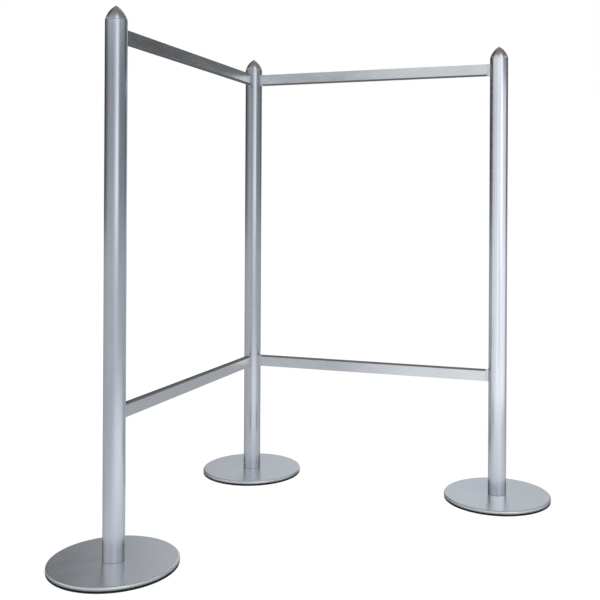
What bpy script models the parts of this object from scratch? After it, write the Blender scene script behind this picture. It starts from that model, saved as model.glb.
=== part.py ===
"""Crowd control barrier: three round posts on disc bases, joined by two upper and two lower panel
rails that meet at a right angle on the corner post.

Frame: metres, +Z up, floor at Z = 0. The origin lies on the floor at the middle of the square that
the two wings span. The right wing runs along +X from the corner post, and the left wing runs along
+Y to it. Each rail hangs on a sliding hook at either end, drawn tight by a half-turn lock screw.
"""
from math import cos, pi, radians, sin, sqrt

import bmesh
import bpy
from mathutils import Matrix, Vector

# ---- driving dimensions ---------------------------------------------------------------------
POST_HEIGHT = 1.500            # floor to the tip of the cap
WING_SPAN = 0.890              # post axis to post axis
GAP = 0.0003                   # fitting clearance between touching pieces

TUBE_RADIUS = 0.030
TUBE_WALL = 0.0025
TUBE_BORE = TUBE_RADIUS - TUBE_WALL

BASE_RADIUS = 0.175
BASE_TOP = 0.016               # floor to the plate's upper face
BASE_RIM_ROUND = 0.0055        # rounding of the plate's upper edge
PAD_THICKNESS = 0.006
PAD_INSET = 0.0006             # the rubber pad stands this far inside the plate's edge
PAD_HOLE_RADIUS = 0.025        # access to the base bolt
DISC_CHAMFER = 0.001           # along the lower edges of the pad and the plate
COUNTERBORE_RADIUS = 0.016
COUNTERBORE_DEPTH = 0.003

BOLT_RADIUS = 0.006            # M12
BOLT_HEAD_RADIUS = 0.009
BOLT_HEAD_HEIGHT = 0.005
BOLT_SOCKET_FLATS = 0.008
BOLT_SOCKET_DEPTH = 0.003
BOLT_END_HEIGHT = 0.046        # floor to the bolt's upper end
BOLT_END_CHAMFER = 0.001
WASHER_RADIUS = 0.014
WASHER_THICKNESS = 0.0015

SPIGOT_HEIGHT = 0.044
SPIGOT_BORE_TOP = 0.051        # floor to the end of the blind thread
SPIGOT_CHAMFER = 0.002

CAP_HEIGHT = 0.040             # tube top to tip
CAP_BASE_LEAN = radians(14)    # the ogive's lean where it leaves the tube
CAP_BASE_CHAMFER = 0.0008
CAP_TIP_RADIUS = 0.0025
CAP_TIP_RISE = 0.0008
CAP_PLUG_DEPTH = 0.025
CAP_PLUG_CHAMFER = 0.001
RING_SECTION_RADIUS = 0.00145
RING_CENTRE_RADIUS = 0.0256
RING_DEPTH = 0.012             # tube top down to the grip ring
RING_GROOVE_RADIUS = 0.0239
RING_GROOVE_WIDTH = 0.0036

RAIL_THICKNESS = 0.016
RAIL_DEPTH = 0.0385            # outer edge to the panel edge
RAIL_WALL = 0.0018
LOWER_RAIL_EDGE = 0.387        # floor to the lower rails' outer, downward edge
UPPER_RAIL_EDGE = 1.4425       # floor to the upper rails' outer, upward edge
FRONT_LIP_HEIGHT = 0.034
FRONT_LIP_THICKNESS = 0.0038
BACK_LIP_THICKNESS = 0.003
GROOVE_FLOOR = 0.026           # outer edge to the seat that the panel's edge stands on
SEAT_RISE = 0.0006             # the panel seat stands this far above the rest of the groove
SEAT_CLEARANCE = 0.0004        # and this far from the gasket and from the back lip
RAIL_EDGE_CHAMFER = 0.0007
GASKET_FRONT_CHAMFER = 0.0015
GASKET_BACK_CHAMFER = 0.0012

COLLAR_END = 0.0385            # post axis to the rail side of an end block's collar
TONGUE_END = 0.0885
TONGUE_OVERLAP = 0.003         # the tongue's root inside the collar
LOCK_AXIS = 0.0635             # post axis to the lock screw
LOCK_DROP = 0.0015             # the lock lies this far below the middle of the rail's chamber

HOOK_THICKNESS = 0.004
HOOK_SHANK_HALF = 0.006
HOOK_NOSE_DROP = 0.006
HOOK_NOSE_TIP = 0.0205
HOOK_NOSE_FACE = 0.0271        # bears on the tube's inner wall
HOOK_TAIL = 0.070
HOOK_CHAMFER = 0.0015
SLOT_CLEARANCE = 0.0005        # beside and above the hook in the tube's slot
CUTTER_RUNOUT = 0.005          # how far a cutting body reaches past what it cuts

CAM_THROW = 0.0015             # half of the hook's travel
CAM_PIN_RADIUS = 0.002
CAM_HEAD_RADIUS = 0.0045
CAM_BOSS_RADIUS = 0.003
CAM_SOCKET_FLATS = 0.003
CAM_SOCKET_DEPTH = 0.0023
CAM_SLACK = 0.00065            # room beside the pin in the hook's window
CAM_RISE_SLACK = 0.00035
CAM_HEAD_SLACK = 0.0002        # between the cam's head and the rail's back wall
KEY_HOLE_SLACK = 0.0004        # around the cam's boss

TUBE_SIDES = 32
DISC_SIDES = 40
CAP_SIDES = 28
RING_SIDES = 20
FASTENER_SIDES = 12            # a multiple of six, for the hexagon sockets
CAP_STEPS = 6
RIM_STEPS = 4
SADDLE_STEPS = 6
RING_SECTION_SIDES = 6
SMOOTH_ANGLE = radians(35)     # edges flatter than this are shaded smooth

HALF_SPAN = WING_SPAN / 2
TUBE_TOP = POST_HEIGHT - CAP_HEIGHT
PLATE_UNDERSIDE = PAD_THICKNESS + GAP
SLOT_HALF_WIDTH = HOOK_THICKNESS / 2 + SLOT_CLEARANCE
TONGUE_HALF_WIDTH = RAIL_THICKNESS / 2 - RAIL_WALL - GAP
CHAMBER_TOP = GROOVE_FLOOR - RAIL_WALL
CHAMBER_MIDDLE = (RAIL_WALL + CHAMBER_TOP) / 2

POSTS = {
    "left": Vector((-HALF_SPAN, -HALF_SPAN, 0)),
    "corner": Vector((-HALF_SPAN, HALF_SPAN, 0)),
    "right": Vector((HALF_SPAN, HALF_SPAN, 0)),
}
# Each wing runs along its own local X from its first post to its second.
WINGS = {
    "right": {"posts": ("corner", "right"), "turn": 0.0},
    "left": {"posts": ("left", "corner"), "turn": pi / 2},
}
# The panel side of a lower rail looks up (+1), and that of an upper rail looks down (-1).
LEVELS = {
    "lower": {"edge": LOWER_RAIL_EDGE, "inward": 1},
    "upper": {"edge": UPPER_RAIL_EDGE, "inward": -1},
}


# ---- scene and materials --------------------------------------------------------------------
def clear_scene():
    for thing in list(bpy.data.objects):
        bpy.data.objects.remove(thing, do_unlink=True)


def make_material(name, colour, roughness, metallic):
    material = bpy.data.materials.new(name)
    material.use_nodes = True
    shader = material.node_tree.nodes["Principled BSDF"]
    shader.inputs["Base Color"].default_value = (*colour, 1.0)
    shader.inputs["Roughness"].default_value = roughness
    shader.inputs["Metallic"].default_value = metallic
    return material


def make_materials():
    return {
        "tube": make_material("satin_tube", (0.60, 0.63, 0.67), 0.32, 1.0),
        "cap": make_material("turned_cap", (0.42, 0.42, 0.44), 0.38, 1.0),
        "plate": make_material("base_steel", (0.55, 0.56, 0.57), 0.36, 1.0),
        "rail": make_material("anodised_rail", (0.58, 0.60, 0.62), 0.40, 1.0),
        "rubber": make_material("black_rubber", (0.02, 0.02, 0.02), 0.80, 0.0),
        "cast": make_material("cast_end_block", (0.50, 0.51, 0.52), 0.45, 1.0),
        "steel": make_material("zinc_steel", (0.56, 0.56, 0.54), 0.35, 1.0),
    }


# ---- mesh helpers ---------------------------------------------------------------------------
def circle(radius, count, height, shift=0.0):
    """A level ring of points, its centre moved along X by shift."""
    turns = (2 * pi * step / count for step in range(count))
    return [Vector((shift + radius * cos(turn), radius * sin(turn), height)) for turn in turns]


def hexagon(across_flats, count, height):
    """A level hexagon with count points, evenly shared between its six sides."""
    corners = circle(across_flats / sqrt(3), 6, height)
    per_side = count // 6
    points = []
    for start, end in zip(corners, corners[1:] + corners[:1]):
        points += [start.lerp(end, step / per_side) for step in range(per_side)]
    return points


def loft(rings, closed=False):
    """Skin rings of equal point count: back to the first ring if closed, else capped at both ends."""
    bm = bmesh.new()
    rows = [[bm.verts.new(point) for point in ring] for ring in rings]
    pairs = list(zip(rows, rows[1:]))
    if closed:
        pairs.append((rows[-1], rows[0]))
    for row, following in pairs:
        for here in range(len(row)):
            there = (here + 1) % len(row)
            bm.faces.new((row[here], row[there], following[there], following[here]))
    if not closed:
        bm.faces.new(rows[0])
        bm.faces.new(rows[-1])
    bmesh.ops.recalc_face_normals(bm, faces=bm.faces)
    return bm


def turned(profile, sides, closed=False):
    """A body of revolution about Z from (radius, height) points."""
    return loft([circle(radius, sides, height) for radius, height in profile], closed)


def prism(outline, depth):
    """Extrude a closed outline of points by the vector depth."""
    bm = bmesh.new()
    face = bm.faces.new([bm.verts.new(point) for point in outline])
    extruded = bmesh.ops.extrude_face_region(bm, geom=[face])
    moved = [item for item in extruded["geom"] if isinstance(item, bmesh.types.BMVert)]
    bmesh.ops.translate(bm, verts=moved, vec=depth)
    bmesh.ops.recalc_face_normals(bm, faces=bm.faces)
    return bm


def block(low, high):
    """A box between two opposite corners, given in any order."""
    outline = [
        Vector((low[0], low[1], low[2])),
        Vector((high[0], low[1], low[2])),
        Vector((high[0], high[1], low[2])),
        Vector((low[0], high[1], low[2])),
    ]
    return prism(outline, Vector((0, 0, high[2] - low[2])))


def along_y(bm):
    """Turn a body that was made along +Z so that it lies along +Y."""
    bm.transform(Matrix.Rotation(-pi / 2, 4, "X"))
    return bm


def add_object(name, bm, material=None, location=(0, 0, 0), parent=None, smooth=False):
    mesh = bpy.data.meshes.new(name)
    bm.to_mesh(mesh)
    bm.free()
    if smooth:
        mesh.shade_smooth()
        mesh.set_sharp_from_angle(angle=SMOOTH_ANGLE)
    if material:
        mesh.materials.append(material)
    thing = bpy.data.objects.new(name, mesh)
    bpy.context.scene.collection.objects.link(thing)
    thing.location = location
    thing.parent = parent
    return thing


def add_empty(name, location, turn=0.0):
    empty = bpy.data.objects.new(name, None)
    bpy.context.scene.collection.objects.link(empty)
    empty.location = location
    empty.rotation_euler = (0, 0, turn)
    return empty


def add_tool(name, bm, location, parent):
    """A body that only cuts or joins: it is never part of the model itself."""
    tool = add_object(name, bm, None, location, parent)
    tool.hide_render = True
    tool.display_type = "WIRE"
    return tool


def combine(target, tool, operation):
    modifier = target.modifiers.new(tool.name, "BOOLEAN")
    modifier.operation = operation
    modifier.solver = "EXACT"
    modifier.object = tool


# ---- post -----------------------------------------------------------------------------------
def floor_pad():
    edge = BASE_RADIUS - PAD_INSET
    profile = [
        (PAD_HOLE_RADIUS, 0),
        (edge - DISC_CHAMFER, 0),
        (edge, DISC_CHAMFER),
        (edge, PAD_THICKNESS),
        (PAD_HOLE_RADIUS, PAD_THICKNESS),
    ]
    return turned(profile, DISC_SIDES, closed=True)


def base_plate():
    counterbore_top = PLATE_UNDERSIDE + COUNTERBORE_DEPTH
    bore = BOLT_RADIUS + GAP
    profile = [(bore, counterbore_top), (bore, BASE_TOP)]
    for step in range(RIM_STEPS + 1):
        turn = pi / 2 * (1 - step / RIM_STEPS)
        radius = BASE_RADIUS - BASE_RIM_ROUND * (1 - cos(turn))
        height = BASE_TOP - BASE_RIM_ROUND * (1 - sin(turn))
        profile.append((radius, height))
    profile += [
        (BASE_RADIUS, PLATE_UNDERSIDE + DISC_CHAMFER),
        (BASE_RADIUS - DISC_CHAMFER, PLATE_UNDERSIDE),
        (COUNTERBORE_RADIUS, PLATE_UNDERSIDE),
        (COUNTERBORE_RADIUS, counterbore_top),
    ]
    return turned(profile, DISC_SIDES, closed=True)


def post_tube():
    foot = BASE_TOP + GAP
    head = TUBE_TOP - GAP
    profile = [(TUBE_BORE, foot), (TUBE_RADIUS, foot), (TUBE_RADIUS, head), (TUBE_BORE, head)]
    return turned(profile, TUBE_SIDES, closed=True)


def foot_spigot():
    foot = BASE_TOP + GAP
    top = foot + SPIGOT_HEIGHT
    radius = TUBE_BORE - 2 * GAP
    bore = BOLT_RADIUS + GAP
    profile = [
        (bore, SPIGOT_BORE_TOP),
        (bore, foot),
        (radius, foot),
        (radius, top - SPIGOT_CHAMFER),
        (radius - SPIGOT_CHAMFER, top),
    ]
    return turned(profile, RING_SIDES)


def washer_bottom():
    return PLATE_UNDERSIDE + COUNTERBORE_DEPTH - GAP - WASHER_THICKNESS


def base_washer():
    bottom = washer_bottom()
    top = bottom + WASHER_THICKNESS
    bore = BOLT_RADIUS + 2 * GAP
    profile = [(bore, bottom), (WASHER_RADIUS, bottom), (WASHER_RADIUS, top), (bore, top)]
    return turned(profile, RING_SIDES, closed=True)


def base_bolt():
    head_top = washer_bottom() - GAP
    head_bottom = head_top - BOLT_HEAD_HEIGHT
    rings = [
        hexagon(BOLT_SOCKET_FLATS, FASTENER_SIDES, head_bottom + BOLT_SOCKET_DEPTH),
        hexagon(BOLT_SOCKET_FLATS, FASTENER_SIDES, head_bottom),
        circle(BOLT_HEAD_RADIUS, FASTENER_SIDES, head_bottom),
        circle(BOLT_HEAD_RADIUS, FASTENER_SIDES, head_top),
        circle(BOLT_RADIUS, FASTENER_SIDES, head_top),
        circle(BOLT_RADIUS, FASTENER_SIDES, BOLT_END_HEIGHT - BOLT_END_CHAMFER),
        circle(BOLT_RADIUS - BOLT_END_CHAMFER, FASTENER_SIDES, BOLT_END_HEIGHT),
    ]
    return loft(rings)


def ogive_profile():
    """(radius, height) points up the cap's outer side, from the tube's edge almost to the tip."""
    start_radius = TUBE_RADIUS
    start_height = CAP_BASE_CHAMFER
    run = start_radius - CAP_TIP_RADIUS
    rise = CAP_HEIGHT - CAP_TIP_RISE - start_height
    chord = sqrt(run * run + rise * rise)
    chord_lean = Vector((rise, run)).angle(Vector((1, 0)))
    half_turn = chord_lean - CAP_BASE_LEAN
    arc_radius = chord / (2 * sin(half_turn))
    points = []
    for step in range(CAP_STEPS + 1):
        lean = CAP_BASE_LEAN + 2 * half_turn * step / CAP_STEPS
        radius = start_radius - arc_radius * (cos(CAP_BASE_LEAN) - cos(lean))
        height = start_height + arc_radius * (sin(lean) - sin(CAP_BASE_LEAN))
        points.append((radius, height))
    return points


def post_cap():
    """The pointed cap with its plug, measured from the top of the tube."""
    plug = TUBE_BORE - GAP
    groove_low = -RING_DEPTH - RING_GROOVE_WIDTH / 2
    groove_high = -RING_DEPTH + RING_GROOVE_WIDTH / 2
    profile = [
        (plug - CAP_PLUG_CHAMFER, -CAP_PLUG_DEPTH),
        (plug, -CAP_PLUG_DEPTH + CAP_PLUG_CHAMFER),
        (plug, groove_low),
        (RING_GROOVE_RADIUS, groove_low),
        (RING_GROOVE_RADIUS, groove_high),
        (plug, groove_high),
        (plug, 0),
        (TUBE_RADIUS - CAP_BASE_CHAMFER, 0),
    ]
    profile += ogive_profile()
    profile.append((CAP_TIP_RADIUS / 4, CAP_HEIGHT))
    return turned(profile, CAP_SIDES)


def grip_ring():
    profile = []
    for step in range(RING_SECTION_SIDES):
        turn = 2 * pi * step / RING_SECTION_SIDES
        radius = RING_CENTRE_RADIUS + RING_SECTION_RADIUS * cos(turn)
        height = RING_SECTION_RADIUS * sin(turn)
        profile.append((radius, height))
    return turned(profile, RING_SIDES, closed=True)


def build_post(name, place, materials):
    """One post. Returns its tube, which the rails' hook slots are cut into."""
    root = add_empty(f"{name}_post", place)
    add_object(f"{name}_floor_pad", floor_pad(), materials["rubber"], parent=root, smooth=True)
    add_object(f"{name}_base_plate", base_plate(), materials["plate"], parent=root, smooth=True)
    add_object(f"{name}_base_bolt", base_bolt(), materials["steel"], parent=root, smooth=True)
    add_object(f"{name}_base_washer", base_washer(), materials["steel"], parent=root, smooth=True)
    add_object(f"{name}_foot_spigot", foot_spigot(), materials["cast"], parent=root, smooth=True)
    tube = add_object(f"{name}_tube", post_tube(), materials["tube"], parent=root, smooth=True)
    cap_place = (0, 0, TUBE_TOP)
    add_object(f"{name}_cap", post_cap(), materials["cap"], cap_place, root, smooth=True)
    ring_place = (0, 0, TUBE_TOP - RING_DEPTH)
    add_object(f"{name}_cap_ring", grip_ring(), materials["rubber"], ring_place, root, smooth=True)
    return tube


# ---- rail -----------------------------------------------------------------------------------
def rail_body(inward):
    """The rail's outline with its panel groove and seat; the gasket side looks along -Y."""
    front = -RAIL_THICKNESS / 2
    back = RAIL_THICKNESS / 2
    edge = RAIL_EDGE_CHAMFER
    front_lip = front + FRONT_LIP_THICKNESS
    back_lip = back - BACK_LIP_THICKNESS
    beside_seat = GROOVE_FLOOR - SEAT_RISE
    outline = [
        (front + edge, 0),
        (back - edge, 0),
        (back, edge),
        (back, RAIL_DEPTH - edge),
        (back - edge, RAIL_DEPTH),
        (back_lip, RAIL_DEPTH),
        (back_lip, beside_seat),
        (back_lip - SEAT_CLEARANCE, beside_seat),
        (back_lip - SEAT_CLEARANCE, GROOVE_FLOOR),
        (SEAT_CLEARANCE, GROOVE_FLOOR),
        (SEAT_CLEARANCE, beside_seat),
        (front_lip, beside_seat),
        (front_lip, FRONT_LIP_HEIGHT),
        (front, FRONT_LIP_HEIGHT),
        (front, edge),
    ]
    return long_prism(outline, inward)


def long_prism(outline, inward):
    """An outline of (across, inward depth) points, extruded along the rail's whole length."""
    half = rail_half_length()
    points = [Vector((-half, across, inward * depth)) for across, depth in outline]
    return prism(points, Vector((2 * half, 0, 0)))


def rail_half_length():
    return HALF_SPAN - COLLAR_END - GAP


def rail_chamber(inward):
    half_width = RAIL_THICKNESS / 2 - RAIL_WALL
    reach = HALF_SPAN
    low = (-reach, -half_width, inward * RAIL_WALL)
    high = (reach, half_width, inward * CHAMBER_TOP)
    return block(low, high)


def panel_gasket(inward):
    """A wedge gasket: a stem in the groove and a bead over the front lip."""
    front = -RAIL_THICKNESS / 2
    stem_front = front + FRONT_LIP_THICKNESS + GAP
    stem_foot = GROOVE_FLOOR - SEAT_RISE + GAP
    bead_foot = FRONT_LIP_HEIGHT + GAP
    outline = [
        (stem_front, stem_foot),
        (0, stem_foot),
        (0, RAIL_DEPTH - GASKET_BACK_CHAMFER),
        (-GASKET_BACK_CHAMFER, RAIL_DEPTH),
        (front + GASKET_FRONT_CHAMFER, RAIL_DEPTH),
        (front, RAIL_DEPTH - GASKET_FRONT_CHAMFER),
        (front, bead_foot),
        (stem_front, bead_foot),
    ]
    return long_prism(outline, inward)


def key_hole():
    """Opens the rail's back wall over a lock screw."""
    radius = CAM_BOSS_RADIUS + KEY_HOLE_SLACK
    near = RAIL_THICKNESS / 2 - 2 * RAIL_WALL
    far = RAIL_THICKNESS / 2 + RAIL_WALL
    return along_y(turned([(radius, near), (radius, far)], FASTENER_SIDES))


def build_rail(name, level, wing_root, materials):
    inward = level["inward"]
    place = (HALF_SPAN, 0, level["edge"])
    rail = add_object(f"{name}_rail", rail_body(inward), materials["rail"], place, wing_root)
    chamber = add_tool(f"{name}_chamber_tool", rail_chamber(inward), place, wing_root)
    combine(rail, chamber, "DIFFERENCE")
    add_object(f"{name}_gasket", panel_gasket(inward), materials["rubber"], place, wing_root)
    return rail


# ---- end lock -------------------------------------------------------------------------------
# Lock pieces are laid out by their distance from the post's axis. "toward" is +1 where the post
# lies on the rail's +X side and -1 where it lies on the -X side.
def collar(toward, inward):
    """The part of an end block that shows, between the round tube and the rail's end."""
    half = RAIL_THICKNESS / 2
    saddle = TUBE_RADIUS + GAP
    widest = Vector((sqrt(saddle * saddle - half * half), half)).angle(Vector((1, 0)))
    points = []
    for step in range(SADDLE_STEPS + 1):
        turn = widest * (2 * step / SADDLE_STEPS - 1)
        points.append(Vector((-toward * saddle * cos(turn), saddle * sin(turn), 0)))
    points.append(Vector((-toward * COLLAR_END, half, 0)))
    points.append(Vector((-toward * COLLAR_END, -half, 0)))
    return prism(points, Vector((0, 0, inward * RAIL_DEPTH)))


def tongue(toward, inward):
    """Slides into the rail's chamber; it starts inside the collar so that the two join."""
    root = COLLAR_END - TONGUE_OVERLAP
    low = (-toward * root, -TONGUE_HALF_WIDTH, inward * (RAIL_WALL + GAP))
    high = (-toward * TONGUE_END, TONGUE_HALF_WIDTH, inward * (CHAMBER_TOP - GAP))
    return block(low, high)


def hook_channel(toward):
    half_width = HOOK_THICKNESS / 2 + GAP
    half_height = HOOK_SHANK_HALF + GAP
    low = (-toward * (TUBE_RADIUS - CUTTER_RUNOUT), -half_width, -half_height)
    high = (-toward * (TONGUE_END + CUTTER_RUNOUT), half_width, half_height)
    return block(low, high)


def cam_bore():
    """The lock screw's seat in the end block's back wall."""
    near = HOOK_THICKNESS / 2
    radius = CAM_HEAD_RADIUS + GAP
    return along_y(turned([(radius, near), (radius, RAIL_THICKNESS / 2)], RING_SIDES))


def tube_slot(toward):
    """The hook enters here at the top, then drops by the depth of its nose."""
    bottom = -HOOK_SHANK_HALF - GAP
    top = HOOK_SHANK_HALF + HOOK_NOSE_DROP + SLOT_CLEARANCE
    low = (-toward * HOOK_NOSE_TIP, -SLOT_HALF_WIDTH, bottom)
    high = (-toward * (TUBE_RADIUS + CUTTER_RUNOUT), SLOT_HALF_WIDTH, top)
    return block(low, high)


def hook(toward):
    """A flat hook, measured from the post's axis and the lock's height; its nose points down."""
    nose_bottom = -HOOK_SHANK_HALF - HOOK_NOSE_DROP
    outline = [
        (HOOK_NOSE_TIP, nose_bottom + HOOK_CHAMFER),
        (HOOK_NOSE_TIP + HOOK_CHAMFER, nose_bottom),
        (HOOK_NOSE_FACE, nose_bottom),
        (HOOK_NOSE_FACE, -HOOK_SHANK_HALF),
        (HOOK_TAIL, -HOOK_SHANK_HALF),
        (HOOK_TAIL, HOOK_SHANK_HALF),
        (HOOK_NOSE_TIP + 2 * HOOK_CHAMFER, HOOK_SHANK_HALF),
        (HOOK_NOSE_TIP, HOOK_SHANK_HALF - 2 * HOOK_CHAMFER),
    ]
    points = [Vector((-toward * along, -HOOK_THICKNESS / 2, height)) for along, height in outline]
    return prism(points, Vector((0, HOOK_THICKNESS, 0)))


def hook_window(toward):
    """Holds the cam pin: it pushes the hook along and is free to rise and fall."""
    centre = LOCK_AXIS + CAM_THROW
    half_width = CAM_PIN_RADIUS + CAM_SLACK
    half_height = CAM_PIN_RADIUS + CAM_THROW + CAM_RISE_SLACK
    low = (-toward * (centre - half_width), -HOOK_THICKNESS, -half_height)
    high = (-toward * (centre + half_width), HOOK_THICKNESS, half_height)
    return block(low, high)


def lock_screw(toward):
    """A headed cam: a key socket and boss in the rail's wall, a head, and a pin off its axis."""
    shift = -toward * CAM_THROW
    face = RAIL_THICKNESS / 2 - GAP
    shoulder = TONGUE_HALF_WIDTH - CAM_HEAD_SLACK
    head_foot = HOOK_THICKNESS / 2 + 2 * GAP
    rings = [
        hexagon(CAM_SOCKET_FLATS, FASTENER_SIDES, face - CAM_SOCKET_DEPTH),
        hexagon(CAM_SOCKET_FLATS, FASTENER_SIDES, face),
        circle(CAM_BOSS_RADIUS, FASTENER_SIDES, face),
        circle(CAM_BOSS_RADIUS, FASTENER_SIDES, shoulder),
        circle(CAM_HEAD_RADIUS, FASTENER_SIDES, shoulder),
        circle(CAM_HEAD_RADIUS, FASTENER_SIDES, head_foot),
        circle(CAM_PIN_RADIUS, FASTENER_SIDES, head_foot, shift),
        circle(CAM_PIN_RADIUS, FASTENER_SIDES, -HOOK_THICKNESS / 2, shift),
    ]
    return along_y(loft(rings))


def build_lock(name, along, toward, level, wing_root, rail, tube, materials):
    """The end block, hook and lock screw at one end of a rail, and the holes they need."""
    inward = level["inward"]
    lock_height = level["edge"] + inward * CHAMBER_MIDDLE - LOCK_DROP
    edge_place = (along, 0, level["edge"])
    lock_place = (along, 0, lock_height)
    screw_place = (along - toward * LOCK_AXIS, 0, lock_height)

    block_body = collar(toward, inward)
    end_block = add_object(f"{name}_end_block", block_body, materials["cast"], edge_place, wing_root)
    tongue_tool = add_tool(f"{name}_tongue_tool", tongue(toward, inward), edge_place, wing_root)
    channel_tool = add_tool(f"{name}_channel_tool", hook_channel(toward), lock_place, wing_root)
    bore_tool = add_tool(f"{name}_bore_tool", cam_bore(), screw_place, wing_root)
    combine(end_block, tongue_tool, "UNION")
    combine(end_block, channel_tool, "DIFFERENCE")
    combine(end_block, bore_tool, "DIFFERENCE")

    hook_piece = add_object(f"{name}_hook", hook(toward), materials["steel"], lock_place, wing_root)
    window_tool = add_tool(f"{name}_window_tool", hook_window(toward), lock_place, wing_root)
    combine(hook_piece, window_tool, "DIFFERENCE")

    screw = lock_screw(toward)
    add_object(f"{name}_lock_screw", screw, materials["steel"], screw_place, wing_root, smooth=True)
    key_tool = add_tool(f"{name}_key_tool", key_hole(), screw_place, wing_root)
    combine(rail, key_tool, "DIFFERENCE")

    slot_tool = add_tool(f"{name}_slot_tool", tube_slot(toward), lock_place, wing_root)
    combine(tube, slot_tool, "DIFFERENCE")


# ---- assembly -------------------------------------------------------------------------------
def build_barrier():
    clear_scene()
    materials = make_materials()
    tubes = {name: build_post(name, place, materials) for name, place in POSTS.items()}
    for wing_name, wing in WINGS.items():
        first, second = wing["posts"]
        wing_root = add_empty(f"{wing_name}_wing", POSTS[first], wing["turn"])
        for level_name, level in LEVELS.items():
            rail_name = f"{wing_name}_{level_name}"
            rail = build_rail(rail_name, level, wing_root, materials)
            for post, along, toward in ((first, 0.0, -1), (second, WING_SPAN, 1)):
                lock_name = f"{rail_name}_{post}"
                build_lock(lock_name, along, toward, level, wing_root, rail, tubes[post], materials)


build_barrier()
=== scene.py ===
"""Looks of the crowd control barrier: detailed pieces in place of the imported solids, a pale studio and
the camera. Metres, +Z up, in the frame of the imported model.
"""

from math import cos, pi, radians, sin, sqrt

import bmesh
import bpy
from mathutils import Matrix, Vector


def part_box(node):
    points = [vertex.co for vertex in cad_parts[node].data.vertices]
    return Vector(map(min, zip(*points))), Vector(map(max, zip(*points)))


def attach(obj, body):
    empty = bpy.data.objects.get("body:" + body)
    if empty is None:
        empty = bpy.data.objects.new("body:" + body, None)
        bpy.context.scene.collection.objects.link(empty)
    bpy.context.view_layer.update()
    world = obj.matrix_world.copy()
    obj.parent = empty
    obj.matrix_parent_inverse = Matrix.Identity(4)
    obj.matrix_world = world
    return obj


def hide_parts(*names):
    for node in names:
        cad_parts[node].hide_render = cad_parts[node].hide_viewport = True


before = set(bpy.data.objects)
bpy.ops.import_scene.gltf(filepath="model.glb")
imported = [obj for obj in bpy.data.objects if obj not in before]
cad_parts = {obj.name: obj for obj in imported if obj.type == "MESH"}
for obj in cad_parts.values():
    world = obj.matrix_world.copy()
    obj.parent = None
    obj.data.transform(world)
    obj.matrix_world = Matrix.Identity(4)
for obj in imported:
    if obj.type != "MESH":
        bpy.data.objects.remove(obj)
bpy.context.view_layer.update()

# ---- dimensions of the real pieces ----------------------------------------------------------
TUBE_RADIUS = 0.030
TUBE_BORE = 0.0275
TUBE_EDGE = 0.0004
BASE_RADIUS = 0.175
BASE_TOP = 0.016
BASE_RIM_ROUND = 0.0055
PLATE_UNDERSIDE = 0.0063
PAD_THICKNESS = 0.006
PAD_EDGE = 0.1744
PAD_HOLE_RADIUS = 0.025
COUNTERBORE_RADIUS = 0.016
COUNTERBORE_TOP = 0.0093
BOLT_RADIUS = 0.006
BOLT_PLAIN_LENGTH = 0.010       # under the head, before the thread
BOLT_SOCKET_FLATS = 0.008
BOLT_SOCKET_DEPTH = 0.003
THREAD_PITCH = 0.00175
THREAD_DEPTH = 0.0009
SPIGOT_LENGTH = 0.044
SPIGOT_BORE_TOP = 0.051
GAP = 0.0003

CAP_HEIGHT = 0.040
CAP_BASE_LEAN = radians(14)
CAP_BASE_CHAMFER = 0.0008
CAP_TIP_RADIUS = 0.0025
CAP_TIP_RISE = 0.0008
CAP_PLUG_DEPTH = 0.025
RING_DEPTH = 0.012
RING_CENTRE_RADIUS = 0.0256
RING_SECTION_RADIUS = 0.00145
RING_GROOVE_RADIUS = 0.0239
RING_GROOVE_WIDTH = 0.0036

RAIL_THICKNESS = 0.016
RAIL_DEPTH = 0.0385
RAIL_WALL = 0.0018
RAIL_EDGE_ROUND = 0.0009
FRONT_LIP_HEIGHT = 0.034
FRONT_LIP_THICKNESS = 0.0038
BACK_LIP_THICKNESS = 0.003
GROOVE_FLOOR = 0.026
SEAT_RISE = 0.0006
SEAT_CLEARANCE = 0.0004
GASKET_NOTCH = (0.0300, 0.0308, 0.0322, 0.0330)     # depths at which it starts, bottoms and ends
GASKET_NOTCH_DEPTH = 0.0006

COLLAR_END = 0.0385
TONGUE_END = 0.0885
TONGUE_HALF_WIDTH = RAIL_THICKNESS / 2 - RAIL_WALL - GAP
CHAMBER_TOP = GROOVE_FLOOR - RAIL_WALL
CHAMBER_MIDDLE = (RAIL_WALL + CHAMBER_TOP) / 2
LOCK_AXIS = 0.0635
LOCK_DROP = 0.0015
HOOK_THICKNESS = 0.004
HOOK_SHANK_HALF = 0.006
HOOK_NOSE_DROP = 0.006
HOOK_NOSE_TIP = 0.0205
HOOK_NOSE_FACE = 0.0271
HOOK_TAIL = 0.070
HOOK_SLOT_CLEARANCE = 0.0005
HOOK_WINDOW_SIDE_PLAY = 0.00065
HOOK_WINDOW_END_PLAY = 0.00035
CAM_THROW = 0.0015
CAM_PIN_RADIUS = 0.002
CAM_HEAD_RADIUS = 0.0045
CAM_BOSS_RADIUS = 0.003
CAM_SOCKET_FLATS = 0.003
CAM_SOCKET_DEPTH = 0.0023
KEY_HOLE_RADIUS = 0.0034

TUBE_SIDES = 128
DISC_SIDES = 192
CAP_SIDES = 96
SMALL_SIDES = 48
ROUND_STEPS = 5

POSTS = ("left", "corner", "right")
# Each wing runs along its own local X from its first post; local +Y is the rails' outer side.
WINGS = {
    "right": {"posts": ("corner", "right"), "turn": 0.0},
    "left": {"posts": ("left", "corner"), "turn": pi / 2},
}
LEVELS = {"lower": 1, "upper": -1}     # which way the rail's panel side looks, up or down


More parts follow.
